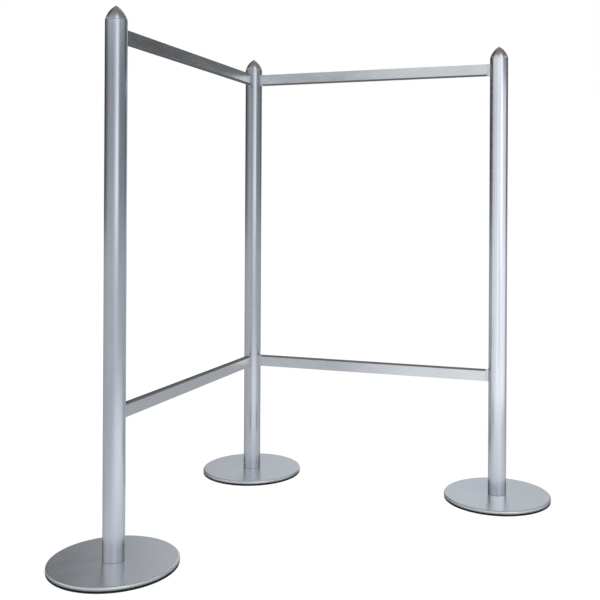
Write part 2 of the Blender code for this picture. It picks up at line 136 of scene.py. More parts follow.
# ---- values of the studio and the camera ----------------------------------------------------
FLOOR_SIZE = 60
SEEN_FLOOR_HEIGHT = -0.0005
SEEN_FLOOR_TONE = (0.42, 0.42, 0.42)
SEEN_FLOOR_GLOW = 0.84
MIRRORED_FLOOR_HEIGHT = -0.001
MIRRORED_FLOOR_TONE = (0.55, 0.57, 0.60)
MIRRORED_FLOOR_LIGHT = (0.98, 1.0, 1.02)
# Painted contact shadow: round each disc the mirrored floor is painted dark and its glow dimmed.
PAINTED_CONTACT_SHADOW_TONE = (0.04, 0.04, 0.04)
PAINTED_CONTACT_SHADOW_GLOW = (0.08, 0.08, 0.08)
PAINTED_CONTACT_SHADOW_REACH = 0.07            # past a disc's rim, where the painted contact shadow on the mirrored floor has faded out
# Painted pool of window light: the mirrored floor glows brighter right in front of the object.
PAINTED_LIGHT_POOL_CENTRE = (0.90, -0.72, 0.0)
PAINTED_LIGHT_POOL_RADIUS = 2.1
PAINTED_LIGHT_POOL_GLOW = 0.72
FLOOR_GLOW = 0.27

# What the metal mirrors round the room: degrees from -Y towards +X, and brightness there.
ROOM = (
    (-180, 0.84), (-165, 0.82), (-153, 0.76), (-146, 0.60), (-139, 0.30), (-131, 0.16), (-120, 0.10),
    (-104, 0.08), (-88, 0.13), (-68, 0.26), (-50, 0.43), (-30, 0.54), (-10, 0.50), (8, 0.56), (24, 0.85),
    (38, 1.55), (53, 1.60), (62, 0.70), (70, 0.34), (95, 0.30), (112, 0.33), (124, 0.38), (134, 0.16),
    (148, 0.08), (157, 0.28), (168, 0.72), (180, 0.84),
)
# A height in the room is the sine of its elevation. Each pair is a height and the walls' share there.
WALL_RISE = ((0.0, 1.0), (0.2, 0.64), (0.40, 0.74), (0.58, 0.90), (0.85, 0.80))
# A pale band that runs round the room above the walls; the discs and the tubes' feet mirror it.
FRIEZE = (
    (-180, 0.80), (-174, 0.95), (-168, 1.04), (-158, 1.02), (-152, 0.74), (-148.5, 0.82), (-145.5, 0.20),
    (-142, 0.0), (-130, 0.0), (-108, 0.15), (-88, 0.70), (-55, 1.30), (100, 1.30), (125, 0.70),
    (145, 0.15), (165, 0.20), (176, 0.50), (180, 0.80),
)
FRIEZE_FOOT = (0.22, 0.28)      # heights between which the band fades in
FRIEZE_HEAD = (0.54, 0.46)      # and fades out
CEILING = 0.29
CEILING_TINT = (1.0, 0.97, 0.99)
CEILING_FADE = (0.72, 0.97)     # heights between which the walls turn into the ceiling

# Softboxes: name, place, point that it looks at, width and height, glow, and what it lights.
SOFTBOXES = (
    ("overhead_softbox", (0.3, -0.6, 4.2), (0, 0, 0.4), (2.4, 2.4), 1.0, "everything"),
    ("left_softbox", (-0.255, -0.767, 1.50), (0.445, 0.445, 1.50), (2.3, 3.0), 0.50, "right post"),
    ("middle_softbox", (0.969, -0.853, 1.50), (0.445, 0.445, 1.50), (1.25, 3.0), 0.45, "right post"),
    ("rail_softbox", (0.27, -1.05, 1.00), (0.27, 1.0, 1.00), (1.4, 2.0), 0.28, "right wing"),
    ("side_softbox", (1.80, 0.15, 0.80), (0.445, 0.445, 0.80), (1.7, 1.6), 0.70, "right post"),
)
RIGHT_WING_PARTS = ("rail", "corner_end_block", "right_end_block")
LIT_PIECES = {
    "everything": None,
    "right post": ["right_tube.look", "right_cap.look"],
    "right wing": [f"right_{level}_{part}.look" for level in LEVELS for part in RIGHT_WING_PARTS],
}

CAMERA_PLACE = (0.8704, -2.4555, 0.9597)
CAMERA_AZIMUTH = radians(18.677)
CAMERA_ROLL = radians(0.298)
CAMERA_SENSOR = 36.0            # millimetres, as is the lens
CAMERA_LENS = 52.06
CAMERA_SHIFT = (-0.0669, -0.1526)


def post_axis(post):
    low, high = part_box(f"{post}_tube")
    return Vector(((low.x + high.x) / 2, (low.y + high.y) / 2, 0))


TUBE_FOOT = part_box("corner_tube")[0].z
TUBE_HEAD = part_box("corner_tube")[1].z
TUBE_TOP = TUBE_HEAD + GAP
WING_SPAN = (post_axis("right") - post_axis("corner")).length


# ---- mesh helpers ---------------------------------------------------------------------------
def fillet(outline, closed=True, steps=ROUND_STEPS):
    """Round the corners of a plane outline. A point is (a, b) or (a, b, corner radius)."""
    count = len(outline)
    rounded = []
    for index, entry in enumerate(outline):
        point = Vector(entry[:2])
        radius = entry[2] if len(entry) > 2 else 0.0
        if not radius or (not closed and index in (0, count - 1)):
            rounded.append(point)
            continue
        before = Vector(outline[index - 1][:2]) - point
        after = Vector(outline[(index + 1) % count][:2]) - point
        half = before.angle(after) / 2
        run = radius * cos(half) / sin(half)
        start = point + before.normalized() * run
        end = point + after.normalized() * run
        centre = point + (before.normalized() + after.normalized()).normalized() * radius / sin(half)
        for step in range(steps + 1):
            arm = (start - centre).slerp(end - centre, step / steps)
            rounded.append(centre + arm.normalized() * radius)
    return rounded


def circle(radius, count, height, shift=0.0):
    turns = (2 * pi * step / count for step in range(count))
    return [Vector((shift + radius * cos(turn), radius * sin(turn), height)) for turn in turns]


def hexagon(across_flats, count, height):
    corner_radius = across_flats / sqrt(3)
    corners = []
    for side in range(6):
        turn = side * pi / 3
        corners.append(Vector((corner_radius * cos(turn), corner_radius * sin(turn), height)))
    per_side = count // 6
    points = []
    for side in range(6):
        for step in range(per_side):
            points.append(corners[side].lerp(corners[(side + 1) % 6], step / per_side))
    return points


def loft(rings, closed=False):
    bm = bmesh.new()
    rows = [[bm.verts.new(point) for point in ring] for ring in rings]
    pairs = list(zip(rows, rows[1:]))
    if closed:
        pairs.append((rows[-1], rows[0]))
    for row, following in pairs:
        for here in range(len(row)):
            there = (here + 1) % len(row)
            bm.faces.new((row[here], row[there], following[there], following[here]))
    if not closed:
        bm.faces.new(rows[0])
        bm.faces.new(rows[-1])
    bmesh.ops.recalc_face_normals(bm, faces=bm.faces)
    return bm


def turned(profile, sides, closed=False):
    """A body of revolution about Z from (radius, height) points."""
    return loft([circle(radius, sides, height) for radius, height in profile], closed)


def prism(outline, depth):
    bm = bmesh.new()
    face = bm.faces.new([bm.verts.new(point) for point in outline])
    extruded = bmesh.ops.extrude_face_region(bm, geom=[face])
    moved = [item for item in extruded["geom"] if isinstance(item, bmesh.types.BMVert)]
    bmesh.ops.translate(bm, verts=moved, vec=depth)
    bmesh.ops.recalc_face_normals(bm, faces=bm.faces)
    return bm


def block(low, high):
    outline = [
        Vector((low[0], low[1], low[2])),
        Vector((high[0], low[1], low[2])),
        Vector((high[0], high[1], low[2])),
        Vector((low[0], high[1], low[2])),
    ]
    return prism(outline, Vector((0, 0, high[2] - low[2])))


def placed(bm, offset):
    bm.transform(Matrix.Translation(offset))
    return bm


def along_y(bm):
    bm.transform(Matrix.Rotation(-pi / 2, 4, "X"))
    return bm


def soften(bm, width, angle=radians(40), segments=2):
    """Round every edge that is sharper than angle."""
    sharp = [edge for edge in bm.edges if edge.is_manifold and edge.calc_face_angle() > angle]
    bmesh.ops.bevel(
        bm, geom=sharp, offset=width, segments=segments, profile=0.5, affect="EDGES", clamp_overlap=True
    )
    return bm


def mesh_from(name, bm):
    mesh = bpy.data.meshes.new(name)
    bm.to_mesh(mesh)
    bm.free()
    return mesh


def carve(bm, cuts=(), joins=()):
    """Join bodies to bm, then cut bodies out of it."""
    made = []
    target = bpy.data.objects.new("carved", mesh_from("carved", bm))
    bpy.context.scene.collection.objects.link(target)
    for operation, bodies in (("UNION", joins), ("DIFFERENCE", cuts)):
        for body in bodies:
            tool = bpy.data.objects.new("tool", mesh_from("tool", body))
            bpy.context.scene.collection.objects.link(tool)
            made.append(tool)
            modifier = target.modifiers.new("carve", "BOOLEAN")
            modifier.operation = operation
            modifier.solver = "EXACT"
            modifier.object = tool
    bpy.context.view_layer.update()
    evaluated = target.evaluated_get(bpy.context.evaluated_depsgraph_get())
    result = bmesh.new()
    result.from_mesh(evaluated.to_mesh())
    evaluated.to_mesh_clear()
    for thing in (target, *made):
        mesh = thing.data
        bpy.data.objects.remove(thing)
        bpy.data.meshes.remove(mesh)
    return result


def add_piece(node, bm, material, body="frame", matrix=None, sharp=radians(30)):
    """A shown piece that stands for one CAD node."""
    mesh = mesh_from(node, bm)
    mesh.shade_smooth()
    mesh.set_sharp_from_angle(angle=sharp)
    mesh.materials.append(material)
    piece = bpy.data.objects.new(f"{node}.look", mesh)
    bpy.context.scene.collection.objects.link(piece)
    if matrix is not None:
        piece.matrix_world = matrix
    weighted = piece.modifiers.new("weighted_normals", "WEIGHTED_NORMAL")
    weighted.keep_sharp = True
    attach(piece, body)
    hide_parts(node)
    return piece


# ---- materials ------------------------------------------------------------------------------
def add_math(tree, operation, *values):
    """A math node; each value is a number or the output of another node."""
    node = tree.nodes.new("ShaderNodeMath")
    node.operation = operation
    for socket, value in zip(node.inputs, values):
        if isinstance(value, (int, float)):
            socket.default_value = value
        else:
            tree.links.new(value, socket)
    return node.outputs["Value"]


def add_range(tree, source, source_range, target_range=(0, 1), smooth=False):
    node = tree.nodes.new("ShaderNodeMapRange")
    node.interpolation_type = "SMOOTHSTEP" if smooth else "LINEAR"
    tree.links.new(source, node.inputs["Value"])
    node.inputs["From Min"].default_value = source_range[0]
    node.inputs["From Max"].default_value = source_range[1]
    node.inputs["To Min"].default_value = target_range[0]
    node.inputs["To Max"].default_value = target_range[1]
    return node.outputs["Result"]


def add_mix(tree, factor, first, second):
    """Blend two colours; each is a tuple or the output of another node."""
    node = tree.nodes.new("ShaderNodeMix")
    node.data_type = "RGBA"
    tree.links.new(factor, node.inputs["Factor"])
    for socket, value in zip((node.inputs[6], node.inputs[7]), (first, second)):
        if isinstance(value, tuple):
            socket.default_value = (*value, 1.0)
        else:
            tree.links.new(value, socket)
    return node.outputs[2]


class Finish:
    """A principled material whose colour, roughness and relief come from procedural nodes."""

    def __init__(self, name, metallic, **uniform):
        self.material = bpy.data.materials.new(name)
        self.material.use_nodes = True
        self.tree = self.material.node_tree
        self.shader = self.tree.nodes["Principled BSDF"]
        self.shader.inputs["Metallic"].default_value = metallic
        for socket, value in uniform.items():
            self.shader.inputs[socket.replace("_", " ")].default_value = value

    def link(self, output, target):
        self.tree.links.new(output, target)

    def place(self):
        return self.tree.nodes.new("ShaderNodeTexCoord").outputs["Object"]

    def noise(self, stretch, detail=3.0, roughness=0.55):
        """Noise with its own count of grains per metre along each axis."""
        mapping = self.tree.nodes.new("ShaderNodeMapping")
        mapping.inputs["Scale"].default_value = stretch
        self.link(self.place(), mapping.inputs["Vector"])
        noise = self.tree.nodes.new("ShaderNodeTexNoise")
        noise.inputs["Scale"].default_value = 1.0
        noise.inputs["Detail"].default_value = detail
        noise.inputs["Roughness"].default_value = roughness
        self.link(mapping.outputs["Vector"], noise.inputs["Vector"])
        return noise.outputs["Fac"]

    def radius(self):
        """Distance from the piece's own upright axis."""
        flat = self.tree.nodes.new("ShaderNodeVectorMath")
        flat.operation = "MULTIPLY"
        flat.inputs[1].default_value = (1, 1, 0)
        self.link(self.place(), flat.inputs[0])
        length = self.tree.nodes.new("ShaderNodeVectorMath")
        length.operation = "LENGTH"
        self.link(flat.outputs["Vector"], length.inputs[0])
        return length.outputs["Value"]

    def height(self):
        split = self.tree.nodes.new("ShaderNodeSeparateXYZ")
        self.link(self.place(), split.inputs["Vector"])
        return split.outputs["Z"]

    def rings(self, source, per_metre, detail=2.0):
        """Lathe marks: noise along one measure only."""
        scaled = self.math("MULTIPLY", source, per_metre)
        noise = self.tree.nodes.new("ShaderNodeTexNoise")
        noise.noise_dimensions = "1D"
        noise.inputs["Scale"].default_value = 1.0
        noise.inputs["Detail"].default_value = detail
        self.link(scaled, noise.inputs["W"])
        return noise.outputs["Fac"]

    def math(self, operation, first, second):
        return add_math(self.tree, operation, first, second)

    def average(self, first, second):
        return self.math("ADD", self.math("MULTIPLY", first, 0.5), self.math("MULTIPLY", second, 0.5))

    def spread(self, source, source_range, target_range=(0, 1), smooth=False):
        return add_range(self.tree, source, source_range, target_range, smooth)

    def mix(self, factor, first, second):
        return add_mix(self.tree, factor, first, second)

    def edges(self):
        """1 on worn outer edges, 0 on flats."""
        geometry = self.tree.nodes.new("ShaderNodeNewGeometry")
        return self.spread(geometry.outputs["Pointiness"], (0.52, 0.60), smooth=True)

    def colour(self, output):
        self.link(output, self.shader.inputs["Base Color"])

    def roughness(self, output):
        self.link(output, self.shader.inputs["Roughness"])

    def relief(self, *layers):
        """Bump layers of (height output, depth in metres)."""
        normal = None
        for output, depth in layers:
            bump = self.tree.nodes.new("ShaderNodeBump")
            bump.inputs["Strength"].default_value = 1.0
            bump.inputs["Distance"].default_value = depth
            self.link(output, bump.inputs["Height"])
            if normal:
                self.link(normal, bump.inputs["Normal"])
            normal = bump.outputs["Normal"]
        self.link(normal, self.shader.inputs["Normal"])


def tube_finish():
    """Satin anodised aluminium tube: lengthwise drawing lines, faint clouding and handling marks."""
    finish = Finish("satin_anodised_tube", 1.0)
    lines = finish.noise((1400, 1400, 5))
    cloud = finish.noise((9, 9, 3), detail=4)
    marks = finish.noise((60, 60, 25), detail=6, roughness=0.65)
    tone = finish.spread(finish.average(lines, cloud), (0.35, 0.65))
    body = finish.mix(tone, (0.603, 0.615, 0.655), (0.663, 0.675, 0.715))
    scuffed = finish.mix(finish.spread(marks, (0.66, 0.74), (0, 0.35)), body, (0.50, 0.515, 0.54))
    finish.colour(scuffed)
    line_roughness = finish.spread(lines, (0.3, 0.7), (0.17, 0.23))
    mark_roughness = finish.spread(marks, (0.55, 0.75), (0, 0.06))
    finish.roughness(finish.math("ADD", line_roughness, mark_roughness))
    finish.relief((lines, 0.000012), (marks, 0.00001))
    return finish.material


def cap_finish():
    """Lathe-turned cap: fine rings and a slightly darker, warmer tone than the tubes."""
    finish = Finish("turned_cap", 1.0)
    rings = finish.rings(finish.height(), 5200)
    cloud = finish.noise((70, 70, 70), detail=4)
    body = finish.mix(finish.spread(rings, (0.3, 0.7)), (0.610, 0.583, 0.590), (0.690, 0.662, 0.670))
    finish.colour(finish.mix(finish.spread(cloud, (0.45, 0.75), (0, 0.5)), body, (0.53, 0.50, 0.508)))
    finish.roughness(finish.spread(cloud, (0.3, 0.7), (0.20, 0.27)))
    finish.relief((rings, 0.000005))
    return finish.material


def plate_finish():
    """Satin base disc: turned rings, a painted highlight as a lighter band on the rim and light scuffs
    from shoes.
    """
    finish = Finish("satin_base_disc", 0.70)
    radius = finish.radius()
    rings = finish.rings(radius, 2600)
    grain = finish.noise((900, 900, 900), detail=2)
    cloud = finish.noise((14, 14, 14), detail=5)
    scuffs = finish.noise((260, 45, 100), detail=5, roughness=0.7)
    tone = finish.spread(finish.average(grain, cloud), (0.36, 0.64))
    body = finish.mix(tone, (0.567, 0.570, 0.587), (0.607, 0.610, 0.627))
    worn = finish.mix(finish.spread(scuffs, (0.62, 0.80), (0, 0.20)), body, (0.625, 0.63, 0.64))
    # Painted highlight: the rim's rounding gets a much lighter colour than the rest of the disc.
    painted_rim_highlight = finish.spread(radius, (BASE_RADIUS - BASE_RIM_ROUND, BASE_RADIUS - 0.002), smooth=True)
    finish.colour(finish.mix(painted_rim_highlight, worn, (0.80, 0.805, 0.81)))
    finish.roughness(finish.spread(cloud, (0.3, 0.7), (0.25, 0.31)))
    finish.relief((rings, 0.000004), (grain, 0.000001))
    return finish.material


def rail_finish():
    """Anodised extrusion: long die lines along the rail, brighter worn corners."""
    finish = Finish("anodised_rail", 1.0)
    lines = finish.noise((4, 1500, 1500))
    cloud = finish.noise((12, 30, 30), detail=4)
    body = finish.mix(finish.spread(lines, (0.35, 0.65)), (0.592, 0.590, 0.594), (0.657, 0.655, 0.659))
    finish.colour(finish.mix(finish.edges(), body, (0.74, 0.745, 0.755)))
    cloud_roughness = finish.spread(cloud, (0.3, 0.7), (0.20, 0.26))
    line_roughness = finish.spread(lines, (0.3, 0.7), (0, 0.05))
    finish.roughness(finish.math("ADD", cloud_roughness, line_roughness))
    finish.relief((lines, 0.00001))
    return finish.material


def cast_finish():
    """Die-cast end block: a fine orange-peel skin."""
    finish = Finish("cast_end_block", 1.0)
    skin = finish.noise((1100, 1100, 1100), detail=3)
    cloud = finish.noise((80, 80, 80), detail=3)
    body = finish.mix(finish.spread(cloud, (0.35, 0.65)), (0.582, 0.580, 0.584), (0.642, 0.640, 0.644))
    finish.colour(finish.mix(finish.edges(), body, (0.70, 0.705, 0.71)))
    finish.roughness(finish.spread(skin, (0.3, 0.7), (0.24, 0.32)))
    finish.relief((skin, 0.000012))
    return finish.material


def steel_finish():
    """Zinc-plated steel: a crystalline mottle and bright corners."""
    finish = Finish("zinc_plated_steel", 1.0)
    mottle = finish.noise((420, 420, 420), detail=4)
    cloud = finish.noise((90, 90, 90), detail=3)
    body = finish.mix(finish.spread(cloud, (0.35, 0.65)), (0.52, 0.525, 0.53), (0.62, 0.615, 0.58))
    finish.colour(finish.mix(finish.edges(), body, (0.75, 0.75, 0.74)))
    finish.roughness(finish.spread(mottle, (0.3, 0.7), (0.24, 0.40)))
    finish.relief((mottle, 0.00001))
    return finish.material


def rubber_finish(name, dust, base):
    """Rubber: matt moulded skin with a little pale dust in it."""
    finish = Finish(name, 0.0, Specular_IOR_Level=0.35)
    skin = finish.noise((1600, 1600, 1600), detail=3)
    film = finish.noise((55, 55, 55), detail=5, roughness=0.6)
    dark = tuple(channel * 0.7 for channel in base)
    body = finish.mix(finish.spread(skin, (0.35, 0.65)), dark, base)
    finish.colour(finish.mix(finish.spread(film, (0.5, 0.8), (0, dust)), body, (0.21, 0.205, 0.195)))
    finish.roughness(finish.spread(film, (0.3, 0.7), (0.62, 0.85)))
    finish.relief((skin, 0.00003))
    return finish.material


TUBE_METAL = tube_finish()
CAP_METAL = cap_finish()
PLATE_METAL = plate_finish()
RAIL_METAL = rail_finish()
CAST_METAL = cast_finish()
STEEL = steel_finish()
PAD_RUBBER = rubber_finish("floor_pad_rubber", 0.45, (0.020, 0.020, 0.021))
GASKET_RUBBER = rubber_finish("gasket_rubber", 0.25, (0.215, 0.208, 0.200))
SEAL_RUBBER = rubber_finish("seal_rubber", 0.05, (0.015, 0.015, 0.016))


# ---- posts ----------------------------------------------------------------------------------
def floor_pad():
    outline = [
        (PAD_HOLE_RADIUS, 0.0, 0.0006),
        (PAD_EDGE, 0.0, 0.0014),
        (PAD_EDGE, PAD_THICKNESS, 0.0005),
        (PAD_HOLE_RADIUS, PAD_THICKNESS, 0.0005),
    ]
    return turned(fillet(outline), DISC_SIDES, closed=True)


def base_plate():
    bore = BOLT_RADIUS + GAP
    outline = [
        (bore, COUNTERBORE_TOP),
        (bore, BASE_TOP),
        (BASE_RADIUS, BASE_TOP, BASE_RIM_ROUND),
        (BASE_RADIUS, PLATE_UNDERSIDE, 0.0012),
        (COUNTERBORE_RADIUS, PLATE_UNDERSIDE, 0.0004),
        (COUNTERBORE_RADIUS, COUNTERBORE_TOP),
    ]
    return turned(fillet(outline, steps=12), DISC_SIDES, closed=True)


def tube_slots(post):
    """Openings in the tube's wall for the rails' hooks, each behind an end block."""
    cutters = []
    for wing_name, wing in WINGS.items():
        if post not in wing["posts"]:
            continue
        toward = -1 if post == wing["posts"][0] else 1
        for level_name in LEVELS:
            low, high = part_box(f"{wing_name}_{level_name}_{post}_lock_screw")
            lock_height = (low.z + high.z) / 2
            half_width = HOOK_THICKNESS / 2 + HOOK_SLOT_CLEARANCE
            near = (-toward * HOOK_NOSE_TIP, -half_width, lock_height - HOOK_SHANK_HALF - GAP)
            top = lock_height + HOOK_SHANK_HALF + HOOK_NOSE_DROP + HOOK_SLOT_CLEARANCE
            far = (-toward * (TUBE_RADIUS + 0.004), half_width, top)
            cutter = block(near, far)
            cutter.transform(Matrix.Rotation(wing["turn"], 4, "Z"))
            cutters.append(cutter)
    return cutters


def post_tube(post):
    outline = [
        (TUBE_BORE, TUBE_FOOT, TUBE_EDGE),
        (TUBE_RADIUS, TUBE_FOOT, TUBE_EDGE),
        (TUBE_RADIUS, TUBE_HEAD, TUBE_EDGE),
        (TUBE_BORE, TUBE_HEAD, TUBE_EDGE),
    ]
    return carve(turned(fillet(outline, steps=3), TUBE_SIDES, closed=True), cuts=tube_slots(post))


def ogive(steps=30):
    """The cap's outer side, from the tube's edge almost to the tip."""
    run = TUBE_RADIUS - CAP_TIP_RADIUS
    rise = CAP_HEIGHT - CAP_TIP_RISE - CAP_BASE_CHAMFER
    chord = sqrt(run * run + rise * rise)
    half_turn = Vector((rise, run)).angle(Vector((1, 0))) - CAP_BASE_LEAN
    arc_radius = chord / (2 * sin(half_turn))
    points = []
    for step in range(steps + 1):
        lean = CAP_BASE_LEAN + 2 * half_turn * step / steps
        radius = TUBE_RADIUS - arc_radius * (cos(CAP_BASE_LEAN) - cos(lean))
        height = CAP_BASE_CHAMFER + arc_radius * (sin(lean) - sin(CAP_BASE_LEAN))
        points.append((radius, height))
    return points


def post_cap():
    plug = TUBE_BORE - GAP
    groove_low = -RING_DEPTH - RING_GROOVE_WIDTH / 2
    groove_high = -RING_DEPTH + RING_GROOVE_WIDTH / 2
    lower = [
        (0.004, -CAP_PLUG_DEPTH),
        (plug, -CAP_PLUG_DEPTH, 0.001),
        (plug, groove_low, 0.0003),
        (RING_GROOVE_RADIUS, groove_low),
        (RING_GROOVE_RADIUS, groove_high),
        (plug, groove_high, 0.0003),
        (plug, 0.0),
        (TUBE_RADIUS - CAP_BASE_CHAMFER, 0.0),
        (TUBE_RADIUS - CAP_BASE_CHAMFER / 4, CAP_BASE_CHAMFER / 3),
    ]
    profile = [tuple(point) for point in fillet(lower, closed=False, steps=4)]
    profile += ogive()
    profile += [
        (CAP_TIP_RADIUS * 0.84, CAP_HEIGHT - CAP_TIP_RISE * 0.55),
        (CAP_TIP_RADIUS * 0.58, CAP_HEIGHT - CAP_TIP_RISE * 0.22),
        (CAP_TIP_RADIUS * 0.25, CAP_HEIGHT),
    ]
    return turned(profile, CAP_SIDES)


def grip_ring():
    section = []
    for step in range(16):
        turn = 2 * pi * step / 16
        radius = RING_CENTRE_RADIUS + RING_SECTION_RADIUS * cos(turn)
        section.append((radius, RING_SECTION_RADIUS * sin(turn)))
    return turned(section, CAP_SIDES, closed=True)


def foot_spigot():
    top = TUBE_FOOT + SPIGOT_LENGTH
    radius = TUBE_BORE - 2 * GAP
    bore = BOLT_RADIUS + GAP
    outline = [
        (bore, SPIGOT_BORE_TOP),
        (bore, TUBE_FOOT),
        (radius, TUBE_FOOT, 0.0005),
        (radius, top, 0.002),
        (0.003, top),
    ]
    return turned(fillet(outline, closed=False), SMALL_SIDES)


def base_washer():
    low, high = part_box("corner_base_washer")
    bore = BOLT_RADIUS + 2 * GAP
    outline = [
        (bore, low.z, 0.0003),
        (high.x - post_axis("corner").x, low.z, 0.0004),
        (high.x - post_axis("corner").x, high.z, 0.0004),
        (bore, high.z, 0.0003),
    ]
    return turned(fillet(outline, steps=3), SMALL_SIDES, closed=True)


def base_bolt():
    low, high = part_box("corner_base_bolt")
    head_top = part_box("corner_base_washer")[0].z - GAP
    head_radius = high.x - post_axis("corner").x
    rings = [
        hexagon(BOLT_SOCKET_FLATS, SMALL_SIDES, low.z + BOLT_SOCKET_DEPTH),
        hexagon(BOLT_SOCKET_FLATS, SMALL_SIDES, low.z + 0.0004),
        circle(0.0052, SMALL_SIDES, low.z),
        circle(head_radius - 0.0006, SMALL_SIDES, low.z),
        circle(head_radius, SMALL_SIDES, low.z + 0.0006),
        circle(head_radius, SMALL_SIDES, head_top),
        circle(BOLT_RADIUS, SMALL_SIDES, head_top),
        circle(BOLT_RADIUS, SMALL_SIDES, head_top + BOLT_PLAIN_LENGTH),
    ]
    height = head_top + BOLT_PLAIN_LENGTH
    while height + THREAD_PITCH < high.z - 0.001:
        rings.append(circle(BOLT_RADIUS - THREAD_DEPTH, SMALL_SIDES, height + THREAD_PITCH * 0.5))
        rings.append(circle(BOLT_RADIUS, SMALL_SIDES, height + THREAD_PITCH * 0.95))
        height += THREAD_PITCH
    rings.append(circle(BOLT_RADIUS - 0.001, SMALL_SIDES, high.z))
    return loft(rings)


def build_post(post):
    floor = Matrix.Translation(post_axis(post))
    seat = Matrix.Translation(post_axis(post) + Vector((0, 0, TUBE_TOP)))
    ring_seat = Matrix.Translation(post_axis(post) + Vector((0, 0, TUBE_TOP - RING_DEPTH)))
    cap_body = f"{post}_cap"
    add_piece(f"{post}_floor_pad", floor_pad(), PAD_RUBBER, matrix=floor)
    add_piece(f"{post}_base_plate", base_plate(), PLATE_METAL, matrix=floor)
    add_piece(f"{post}_tube", post_tube(post), TUBE_METAL, matrix=floor)
    add_piece(f"{post}_foot_spigot", foot_spigot(), CAST_METAL, matrix=floor)
    add_piece(f"{post}_base_washer", base_washer(), STEEL, matrix=floor)
    add_piece(f"{post}_base_bolt", base_bolt(), STEEL, matrix=floor)
    add_piece(f"{post}_cap", post_cap(), CAP_METAL, cap_body, seat)
    add_piece(f"{post}_cap_ring", grip_ring(), SEAL_RUBBER, cap_body, ring_seat)


# ---- rails ----------------------------------------------------------------------------------
def long_prism(outline, inward):
    """An outline of (across, inward depth) points, extruded along the rail's whole length."""
    start = COLLAR_END + GAP
    points = [Vector((start, across, inward * depth)) for across, depth in outline]
    return prism(points, Vector((WING_SPAN - 2 * start, 0, 0)))


def rail(inward):
    front = -RAIL_THICKNESS / 2
    back = RAIL_THICKNESS / 2
    front_lip = front + FRONT_LIP_THICKNESS
    back_lip = back - BACK_LIP_THICKNESS
    beside_seat = GROOVE_FLOOR - SEAT_RISE
    outline = [
        (front, 0, RAIL_EDGE_ROUND),
        (back, 0, RAIL_EDGE_ROUND),
        (back, RAIL_DEPTH, 0.0007),
        (back_lip, RAIL_DEPTH, 0.0005),
        (back_lip, beside_seat),
        (back_lip - SEAT_CLEARANCE, beside_seat),
        (back_lip - SEAT_CLEARANCE, GROOVE_FLOOR, 0.0001),
        (SEAT_CLEARANCE, GROOVE_FLOOR, 0.0001),
        (SEAT_CLEARANCE, beside_seat),
        (front_lip, beside_seat, 0.0003),
        (front_lip, FRONT_LIP_HEIGHT, 0.0004),
        (front, FRONT_LIP_HEIGHT, 0.0004),
    ]
    half_width = RAIL_THICKNESS / 2 - RAIL_WALL
    chamber = block((0, -half_width, inward * RAIL_WALL), (WING_SPAN, half_width, inward * CHAMBER_TOP))
    cuts = [chamber]
    near = RAIL_THICKNESS / 2 - 2 * RAIL_WALL
    face = RAIL_THICKNESS / 2
    for along in (LOCK_AXIS, WING_SPAN - LOCK_AXIS):
        rings = [
            circle(KEY_HOLE_RADIUS, SMALL_SIDES, near),
            circle(KEY_HOLE_RADIUS, SMALL_SIDES, face - 0.0004),
            circle(KEY_HOLE_RADIUS + 0.0006, SMALL_SIDES, face + 0.0002),
        ]
        hole = along_y(loft(rings))
        cuts.append(placed(hole, Vector((along, 0, inward * CHAMBER_MIDDLE - LOCK_DROP))))
    return carve(long_prism(fillet(outline, steps=4), inward), cuts=cuts)


def gasket(inward):
    front = -RAIL_THICKNESS / 2
    stem_front = front + FRONT_LIP_THICKNESS + GAP
    stem_foot = GROOVE_FLOOR - SEAT_RISE + GAP
    bead_foot = FRONT_LIP_HEIGHT + GAP
    notch_start, notch_low, notch_high, notch_end = GASKET_NOTCH
    outline = [
        (stem_front, stem_foot, 0.0005),
        (0, stem_foot, 0.0005),
        (0, notch_start, 0.0004),
        (-GASKET_NOTCH_DEPTH, notch_low, 0.0004),
        (-GASKET_NOTCH_DEPTH, notch_high, 0.0004),
        (0, notch_end, 0.0004),
        (0, RAIL_DEPTH, 0.0013),
        (front, RAIL_DEPTH, 0.0018),
        (front, bead_foot, 0.0004),
        (stem_front, bead_foot, 0.0003),
    ]
    return long_prism(fillet(outline, steps=6), inward)


